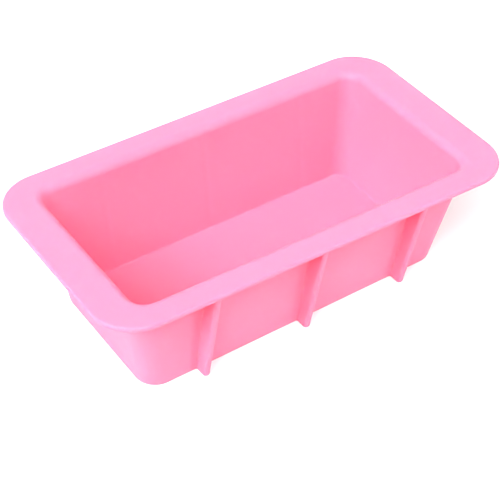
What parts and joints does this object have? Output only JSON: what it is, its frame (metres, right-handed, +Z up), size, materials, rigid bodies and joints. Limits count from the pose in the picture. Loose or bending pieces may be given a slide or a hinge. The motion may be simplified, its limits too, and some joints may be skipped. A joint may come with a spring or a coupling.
{
  "type": "soap loaf mould",
  "caption": "Flexible silicone loaf mould for casting soap: a tapered rectangular tray with rounded corners, a flat rim all round and stiffening ribs on the long sides.",
  "frame": {"origin": "middle of the flat underside that the mould stands on", "axes": "+X along the loaf, to the right end; -Y towards the front; +Z up, out of the open mouth"},
  "size_m": [0.25, 0.134, 0.069],
  "materials": {
    "silicone": "satin, slightly translucent"
  },
  "bodies": {
    "root": {"floor_panel": "silicone", "front_wall": "silicone", "back_wall": "silicone", "left_end_wall": "silicone", "right_end_wall": "silicone", "corner_front_left": "silicone", "corner_front_right": "silicone", "corner_back_left": "silicone", "corner_back_right": "silicone", "rim_front": "silicone", "rim_back": "silicone", "rim_left_end": "silicone", "rim_right_end": "silicone", "rim_corner_front_left": "silicone", "rim_corner_front_right": "silicone", "rim_corner_back_left": "silicone", "rim_corner_back_right": "silicone", "rib_front_left": "silicone", "rib_front_centre": "silicone", "rib_front_right": "silicone", "rib_back_left": "silicone", "rib_back_centre": "silicone", "rib_back_right": "silicone"}
  },
  "joints": []
}
